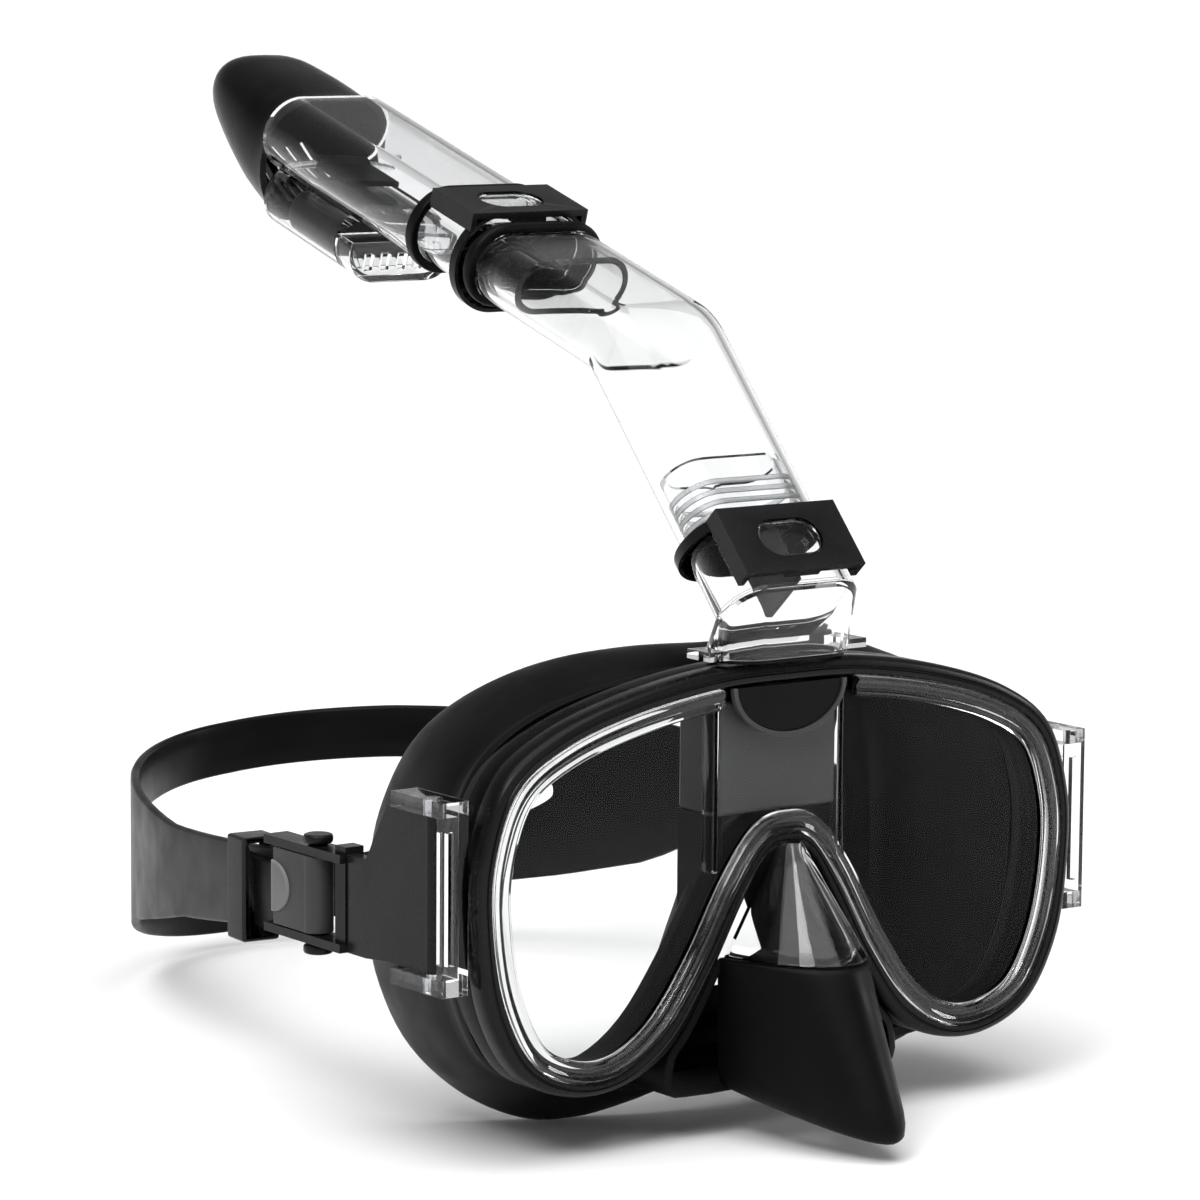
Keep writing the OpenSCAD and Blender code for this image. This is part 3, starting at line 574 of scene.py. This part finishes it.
def make_nose():
    """Clear nose window above, soft black nose pocket below."""
    bottom = WINDOW_BOTTOM + 0.2
    front = [nose_ring(z, 0.05, -0.1) for z in (NOSE_TOP, -13, -16, -20, -24, -28, -32, bottom)]
    inside = [nose_ring(z, 1.5, -0.1) for z in (bottom, -32, -28, -24, -20, -16, -13.5)]
    window = loft([ring[:-2] for ring in front + inside], closed_rings=False, closed_rows=True)
    redrawn("nose_window_look", "nose_window", window, CLEAR, sharp=75)

    top = WINDOW_BOTTOM - 0.3
    outer = [nose_ring(z, pull, 1.0) for z, pull in (
        (top, 0.5), (top - 0.4, 0.1), (top - 1.2, 0.0), (-38, 0), (-42, 0), (-47, 0), (-52, 0), (-57, 0),
        (-61, 0), (-64.5, 0.1), (-67, 0.5), (-68.8, 1.4), (-69.7, 3.0), (NOSE_BOTTOM, 5.5),
    )]
    inner = [nose_ring(z, 2.0, 1.0) for z in (-67.0, -62, -56, -50, -44, -38, top)]
    shell = loft(outer + [drawn_in(outer[-1]), drawn_in(inner[0])] + inner, closed_rows=True)
    redrawn("nose_pocket_look", "nose_pocket", joined(shell, pocket_flange()), SKIN, sharp=60)


def pocket_flange():
    """The pocket's web, which fills the notch below the frame back to the skirt."""
    half = [
        (17.6, -34.8), (19.5, -38), (23, -44), (27, -50), (30.6, -54.5), (30.8, -62.6), (22, -63.8),
        (14, -63.8), (0, -63.9),
    ]
    path = smooth_line(half + [(-x, z) for x, z in half[-2::-1]], 3)
    inner = inset(path, 2.0, closed=False)
    softened = inset(path, 0.5, closed=False)
    rows = [(path, 0.4), (softened, 0.0), (inner, 0.0), (inner, 13.8), (path, 13.8)]
    return loft([[(p.x, y, p.y) for p in row] for row, y in rows], closed_rings=False, closed_rows=True)


# ---- tube ---------------------------------------------------------------------------------------

LOWER_LEAN, UPPER_LEAN = math.radians(47.5), math.radians(17)
FOOT = Vector((0, -10, 28))
LEG, TUBE_START, UPPER_END = 87.0, 33.7, 46.3
TUBE_W, TUBE_T, TUBE_WALL = 34.0, 16.5, 1.5
BEND_R = TUBE_T / 2 + 1.5
BEND_TRIM = BEND_R * math.tan((LOWER_LEAN - UPPER_LEAN) / 2)
BEND_STEPS = 12
END_STEPS = 24


def along(lean):
    """Up the tube's axis."""
    return Vector((0, math.cos(lean), math.sin(lean)))


def off(lean):
    """Off the tube's axis, towards its rear and under side."""
    return Vector((0, math.sin(lean), -math.cos(lean)))


BEND_POINT = FOOT + along(LOWER_LEAN) * LEG


def on_lower_leg(z):
    return FOOT + along(LOWER_LEAN) * z


def on_upper_leg(z):
    return BEND_POINT + along(UPPER_LEAN) * z


def upper(x, y, z):
    """A point in the upper leg's own frame, with z up its axis from the bend."""
    return on_upper_leg(z) + off(UPPER_LEAN) * y + Vector((x, 0, 0))


def stadium(w, t):
    """A flat oval: two straight sides and two half circles."""
    flat, r = (w - t) / 2, t / 2
    angles = [math.pi * (k / END_STEPS - 0.5) for k in range(END_STEPS + 1)]
    right = [(flat + r * math.cos(a), r * math.sin(a)) for a in angles]
    return right + [(-x, -y) for x, y in right]


def tube_section(w, t, lean, centre):
    return [centre + off(lean) * y + Vector((x, 0, 0)) for x, y in stadium(w, t)]


def tube_sections(w, t, lip):
    """Sections from end to end, each end set back by the lip's radius."""
    lower_stops = (TUBE_START + lip, TUBE_START + 2, 50, LEG - BEND_TRIM - 4)
    upper_stops = (BEND_TRIM + 4, 30, UPPER_END - 2, UPPER_END - lip)
    middle = on_lower_leg(LEG - BEND_TRIM) + off(LOWER_LEAN) * BEND_R
    leans = [LOWER_LEAN + (UPPER_LEAN - LOWER_LEAN) * k / BEND_STEPS for k in range(BEND_STEPS + 1)]
    return (
        [tube_section(w, t, LOWER_LEAN, on_lower_leg(z)) for z in lower_stops]
        + [tube_section(w, t, lean, middle - off(lean) * BEND_R) for lean in leans]
        + [tube_section(w, t, UPPER_LEAN, on_upper_leg(z)) for z in upper_stops]
    )


def make_tube():
    """The bent clear tube with softly rounded lips at both ends."""
    outer = tube_sections(TUBE_W, TUBE_T, 0.5)
    inner = tube_sections(TUBE_W - 2 * TUBE_WALL, TUBE_T - 2 * TUBE_WALL, 0.4)[::-1]
    lip_w, lip_t = TUBE_W - TUBE_WALL, TUBE_T - TUBE_WALL
    lip_top = tube_section(lip_w, lip_t, UPPER_LEAN, on_upper_leg(UPPER_END))
    lip_low = tube_section(lip_w, lip_t, LOWER_LEAN, on_lower_leg(TUBE_START))
    shape = loft(outer + [lip_top] + inner + [lip_low], closed_rows=True)
    redrawn("bent_tube_look", "bent_tube", shape, TUBE)


# ---- strap --------------------------------------------------------------------------------------

# The loop is half an ellipse: 0 degrees at the mask's side, 90 at the back of the head
LOOP_HALF_W, LOOP_FRONT, LOOP_DEPTH, STRAP_T = 85.0, 20.0, 206.0, 2.2
STRAP_TILT = 5.0
STRAP_START, STRAP_MIDDLE = 10.4, 90
STRAP_ROUND = 0.7
LOWER_BAND, UPPER_BAND = 15, 13
WHOLE_STEPS, SLOT_STEPS = 16, 36


def strap_point(a, side, offset):
    """The strap's x and y at an angle round the loop, moved outwards by an offset."""
    a = math.radians(a)
    x, y = LOOP_HALF_W * math.cos(a), LOOP_FRONT + LOOP_DEPTH * math.sin(a)
    n = Vector((math.cos(a) / LOOP_HALF_W, math.sin(a) / LOOP_DEPTH)).normalized()
    return side * (x + n.x * offset), y + n.y * offset


def strap_heights(a, side):
    """Top and bottom edges of the strap, which lies twisted and spreads further on the wearer's left."""
    y = LOOP_FRONT + LOOP_DEPTH * math.sin(math.radians(a))
    tilt = side * STRAP_TILT * math.cos(math.radians(a)) * ramp(y, 87, 135)
    b = a if side > 0 else 180 - a
    down = 9.3 * ramp(b, 25, 36) - 6.1 * ramp(b, 45, 90) - 3.2 * ramp(b, 90, 130)
    up = 2 * ramp(b, 25, 35) - 1.5 * ramp(b, 65, 90) - 0.5 * ramp(b, 90, 120)
    high = -13.7 - 3 * ramp(y, 70, 80) + tilt + up
    low = (-30.3 - 4 * ramp(y, 70, 80) - 3 * ramp(y, 80, 130) - 12 * ramp(y, 130, 180)
           - 17 * ramp(y, 180, 226) + tilt - down)
    return high, low


def band_section(a, side, low, high, low_round, high_round):
    """Points round a band: outer face, top edge, inner face, bottom edge."""
    h = STRAP_T / 2
    low_mid, high_mid = low + (high - low) * 0.35, low + (high - low) * 0.65
    high_bevel, low_bevel = high - 0.3 * high_round, low + 0.3 * low_round
    outline = [
        (h, low + low_round), (h, low_mid), (h, high_mid), (h, high - high_round),
        (h - 0.35 * high_round, high_bevel), (h - high_round, high),
        (-h + high_round, high), (-h + 0.35 * high_round, high_bevel),
        (-h, high - high_round), (-h, high_mid), (-h, low_mid), (-h, low + low_round),
        (-h + 0.35 * low_round, low_bevel), (-h + low_round, low),
        (h - low_round, low), (h - 0.35 * low_round, low_bevel),
    ]
    return [(*strap_point(a, side, offset), z) for offset, z in outline]


def bend_with_swivel(obj):
    """Works the piece's placement into its mesh."""
    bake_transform(obj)


def make_strap(side, name, split):
    """Half of the strap: one band from its buckle to the split angle, then two, with a slot between."""
    def whole(a):
        high, low = strap_heights(a, side)
        return band_section(a, side, low, high, STRAP_ROUND, STRAP_ROUND)

    def halves(a):
        high, low = strap_heights(a, side)
        spare = high - low - LOWER_BAND - UPPER_BAND
        gap = max(spare, 0.4) * math.sqrt(ramp(a, split, split + 6)) + 0.02
        middle = low + LOWER_BAND + spare / 2
        edge = min(STRAP_ROUND, gap / 2)
        return (band_section(a, side, middle + gap / 2, high, edge, STRAP_ROUND),
                band_section(a, side, low, middle - gap / 2, STRAP_ROUND, edge))

    whole_angles = [STRAP_START + (split - STRAP_START) * k / WHOLE_STEPS for k in range(WHOLE_STEPS + 1)]
    slot_angles = [
        split + (STRAP_MIDDLE - split) * (k / SLOT_STEPS) ** 1.8 for k in range(SLOT_STEPS + 1)
    ]
    upper_band, lower_band = zip(*[halves(a) for a in slot_angles])
    shape = joined(
        loft([whole(a) for a in whole_angles], caps=True),
        loft(upper_band, caps=True),
        loft(lower_band, caps=True),
    )
    strap = piece(name, shape, STRAP, None, "strap_rubber", sharp=60)
    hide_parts("strap_run_" + SIDE_NAME[side], "strap_back")
    bend_with_swivel(strap)


PAD_EDGE_Y, PAD_MIDDLE_Y, PAD_Z = 66.0, 63.2, -22
PAD_LEN, PAD_HALF_H = 6.6, 5.6
PAD_STEPS = 20


def make_thumb_pad(side):
    """The raised D on the face of a buckle lever, where a thumb lifts it, in a paler grey that is a painted
    highlight.
    """
    edge = [(PAD_EDGE_Y, PAD_Z - PAD_HALF_H), (PAD_EDGE_Y, PAD_Z + PAD_HALF_H)]
    for k in range(1, PAD_STEPS):
        a = math.pi * k / PAD_STEPS
        edge.append((PAD_EDGE_Y - PAD_LEN * math.sin(a), PAD_Z + PAD_HALF_H * math.cos(a)))
    rings = [
        [(side * x, y + (PAD_MIDDLE_Y - y) * shrink / 4, z + (PAD_Z - z) * shrink / 6) for y, z in edge]
        for x, shrink in ((87.1, 0.0), (87.5, 0.0), (87.75, 0.25), (87.8, 0.8))
    ]
    piece("thumb_pad_highlight_" + SIDE_NAME[side], loft(rings, caps=True), PAD_HIGHLIGHT, "lever_" + SIDE_NAME[side],
          "dark_plastic", sharp=45)


TAIL_START, TAIL_LEN, TAIL_Z, TAIL_HALF_H = 68, 24, -25.6, 7.6
TIP_START, TIP_LEN = 85.5, 6.6
TAIL_STEPS = 12


def make_tail(side):
    """The strap's free end, folded back through the keeper, with a rounded tip."""
    rings = []
    for k in range(TAIL_STEPS + 1):
        y = TAIL_START + TAIL_LEN * k / TAIL_STEPS
        x = LOOP_HALF_W * math.sqrt(1 - ((y - LOOP_FRONT) / LOOP_DEPTH) ** 2) + STRAP_T / 2 + 0.15
        half = TAIL_HALF_H * math.sqrt(max(1 - max((y - TIP_START) / TIP_LEN, 0) ** 2, 0.02))
        section = ((0, -half), (1.1, -half), (1.5, -half + 0.5), (1.5, half - 0.5), (1.1, half), (0, half))
        rings.append([(side * (x + dx), y, TAIL_Z + dz) for dx, dz in section])
    tail = piece("strap_tail_" + SIDE_NAME[side], loft(rings, caps=True), STRAP, None, "strap_rubber",
                 sharp=50)
    bend_with_swivel(tail)


# ---- dry top cap ----------------------------------------------------------------------------------

CAP_START, CAP_LEN, CAP_WALL = 137.0, 38.0, 1.8
CAP_SIDES = 40
# The cap's top, low side and half width, at shares of the way to its tip
CAP_TOP = [(0, -9.1), (0.4, -9.6), (0.776, -9.4), (0.895, -8.1), (0.96, -6.0), (1, -2.0)]
CAP_LOW = [(0, 23.2), (0.3, 20.0), (0.55, 15.4), (0.776, 10.8), (0.895, 8.2), (0.96, 6.0), (1, 3.0)]
CAP_HALF_W = [(0, 18.0), (0.3, 17.6), (0.55, 16.4), (0.776, 14.6), (0.895, 12.6), (0.96, 10.0), (1, 6.0)]
SLOT_PITCH, SLOT_HALF_W = 4.4, 1


def between_stops(t, stops):
    """A value read off straight runs between stops."""
    for (a, p), (b, q) in zip(stops, stops[1:]):
        if t <= b:
            return p + (q - p) * ((t - a) / (b - a))
    return stops[-1][1]


def cap_ring(t, shrink):
    """A level of the cap, a share t of the way to its tip: broad on top, narrower below."""
    top = between_stops(t, CAP_TOP) + shrink
    low = between_stops(t, CAP_LOW) - shrink
    wide = between_stops(t, CAP_HALF_W) - shrink
    middle, half, ring = (top + low) / 2, max(low - top, 0.4) / 2, []
    for k in range(CAP_SIDES):
        a = 2 * math.pi * k / CAP_SIDES
        c, d = math.cos(a), math.sin(a)
        x = max(wide, 0.3) * math.copysign(abs(c) ** 0.72, c) * (1 - 0.14 * max(d, 0) - 0.02)
        y = middle + half * math.copysign(abs(d) ** 0.78, d)
        ring.append(tuple(upper(x, y, CAP_START + (CAP_LEN - shrink) * t)))
    return ring


def relaxed(rings):
    """Rings eased along their length, with both ends kept."""
    eased = [
        [tuple(0.25 * p + 0.5 * q + 0.25 * r for p, q, r in zip(u, v, w)) for u, v, w in zip(a, b, c)]
        for a, b, c in zip(rings, rings[1:], rings[2:])
    ]
    return [rings[0]] + eased + [rings[-1]]


def cap_slot(x):
    """A block through the cap's under side, which cuts one drain slot."""
    corners = [
        tuple(upper(x + dx, y, z))
        for z in (CAP_START + 8, CAP_START + 24)
        for dx, y in ((-SLOT_HALF_W, 8), (SLOT_HALF_W, 8), (SLOT_HALF_W, 28), (-SLOT_HALF_W, 28))
    ]
    return loft([corners[:4], corners[4:]], caps=True)


def make_cap():
    """The black cap: an outer skin, a lining inside it, a rim between them, and five drain slots below."""
    levels = [0, 0.06, 0.13, 0.2, 0.28, 0.36, 0.44, 0.52, 0.6, 0.68, 0.75, 0.82, 0.88, 0.93, 0.965, 0.99, 1]
    outer = relaxed([cap_ring(t, 0.0) for t in levels])
    inner = relaxed([cap_ring(t, CAP_WALL) for t in levels])
    skin_verts, skin_faces = loft([inner[0]] + outer)
    tip = tuple(len(outer) * CAP_SIDES + i for i in range(CAP_SIDES))
    lining_verts, lining_faces = loft(inner[::-1])
    lining_tip = tuple(range(CAP_SIDES - 1, -1, -1))
    shape = joined((skin_verts, skin_faces + [tip]), (lining_verts, lining_faces + [lining_tip]))

    cutter = bpy.data.objects.new("cap_slots", bpy.data.meshes.new("cap_slots"))
    slot_verts, slot_faces = joined(*[cap_slot(i * SLOT_PITCH) for i in range(-2, 3)])
    cutter.data.from_pydata([place(v) for v in slot_verts], [], slot_faces)
    bpy.context.scene.collection.objects.link(cutter)
    cap = redrawn("dry_top_cap_look", "dry_top_cap", shape, BLACK, weld=0.01)
    apply_modifier(cap, "BOOLEAN", operation="DIFFERENCE", object=cutter, solver="EXACT")
    bpy.data.objects.remove(cutter)
    cap.data.shade_smooth()
    cap.data.set_sharp_from_angle(angle=math.radians(40))


# ---- build --------------------------------------------------------------------------------------

make_trim()
make_bezel()
make_skirt()
make_nose()
make_tube()
make_strap(1, "strap_left_look", split=46)
make_strap(-1, "strap_right_look", split=57)
make_cap()
for side in (1, -1):
    make_thumb_pad(side)
    make_tail(side)

# How far each carried-over node's edges are rounded, in millimetres
BEVELS = {
    "clip_ring": 0.5, "air_duct": 1.2, "tube_connector": 0.35, "lower_collar": 0.35, "upper_collar": 0.35,
    "lower_release_button": 0.4, "upper_release_button": 0.4, "upper_gasket": 0.9, "housing_band": 0.5,
    "dry_top_housing": 0.4, "float_cage": 0.5, "float": 1.2, "flap_valve": 0.3,
    "connector_gasket": 0.3, "lower_seal_rings": 0.12, "air_port_ring": 0.15, "air_port_seal": 0.2,
    "inhale_valve": 0.3, "duct_rail_left": 0.4, "duct_rail_right": 0.4, "connector_divider": 0.3,
    "bracket_left": 0.6, "bracket_right": 0.6, "hinge_pin_left": 0.25, "hinge_pin_right": 0.25,
    "flap_pin": 0.2, "swivel_left": 0.8, "swivel_right": 0.8, "buckle_left": 0.6, "buckle_right": 0.6,
    "roller_left": 0.6, "roller_right": 0.6, "buckle_lever_left": 0.6, "buckle_lever_right": 0.6,
    "keeper_left": 0.9, "keeper_right": 0.9, "lens": 0.25, "lens_gasket": 0.3,
}
for node, width in BEVELS.items():
    look = LEVER if node.startswith("buckle_lever") else MATERIAL_OF[SLOT_OF[node]]
    refined(node, look, width)

# ---- stage --------------------------------------------------------------------------------------

FLOOR_GAP = 0.5 * MM


def make_floor(low):
    """A pale floor just under the object."""
    bpy.ops.mesh.primitive_plane_add(size=80, location=(0, 0.1, low.z - FLOOR_GAP))
    floor = bpy.context.object
    floor.name = "floor"
    m = Nodes("floor_pale")
    m.link(m.ramp(m.noise(3, 3), [(0.3, grey(0.9)), (0.7, grey(0.92))]), m.shader.inputs["Base Color"])
    m.set(Roughness=0.8, Specular_IOR_Level=0.1)
    floor.data.materials.append(m.material)


def make_world():
    """Soft light from all round, brightest at the horizon."""
    world = bpy.data.worlds.new("studio")
    world.use_nodes = True
    tree = world.node_tree
    direction = tree.nodes.new("ShaderNodeTexCoord")
    split = tree.nodes.new("ShaderNodeSeparateXYZ")
    shade = tree.nodes.new("ShaderNodeValToRGB")
    for end, position, level in zip(shade.color_ramp.elements, (0.02, 0.4), (0.8, 0.26)):
        end.position = position
        end.color = (*grey(level), 1)
    tree.links.new(direction.outputs["Generated"], split.inputs["Vector"])
    tree.links.new(split.outputs["Z"], shade.inputs["Fac"])
    tree.links.new(shade.outputs["Color"], tree.nodes["Background"].inputs["Color"])
    tree.nodes["Background"].inputs["Strength"].default_value = 1.0
    bpy.context.scene.world = world


def make_lamps(middle):
    """A broad sun from above, and two small lamps that draw glints along the clear edges."""
    sun = bpy.data.objects.new("sun", bpy.data.lights.new("sun", "SUN"))
    sun.data.energy, sun.data.angle = 3.0, math.radians(70)
    sun.rotation_euler = (math.radians(12), math.radians(-14), 0)
    bpy.context.scene.collection.objects.link(sun)
    for name, offset, size, power in (
        ("key", (-1.0, -0.7, 1.1), 0.45, 7),
        ("side", (1.3, -0.6, 0.5), 0.35, 5),
    ):
        lamp = bpy.data.objects.new(name, bpy.data.lights.new(name, "AREA"))
        lamp.data.size, lamp.data.energy = size, power
        lamp.location = middle + Vector(offset)
        lamp.rotation_euler = (middle - lamp.location).to_track_quat("-Z", "Y").to_euler()
        bpy.context.scene.collection.objects.link(lamp)


def make_camera():
    """A long lens from the wearer's right, a little above the mask."""
    camera = bpy.data.objects.new("camera", bpy.data.cameras.new("camera"))
    camera.data.lens, camera.data.sensor_width = 150, 36
    camera.location = (-0.647, -0.872, 0.2045)
    camera.rotation_euler = [math.radians(a) for a in (82.17, -0.41, -35.84)]
    camera.data.clip_start, camera.data.clip_end = 0.05, 50
    bpy.context.scene.collection.objects.link(camera)
    bpy.context.scene.camera = camera


low, high = cad_box
make_floor(low)
make_world()
make_lamps((low + high) / 2)
make_camera()
bpy.context.scene.view_settings.view_transform = "Standard"

bpy.context.view_layer.update()
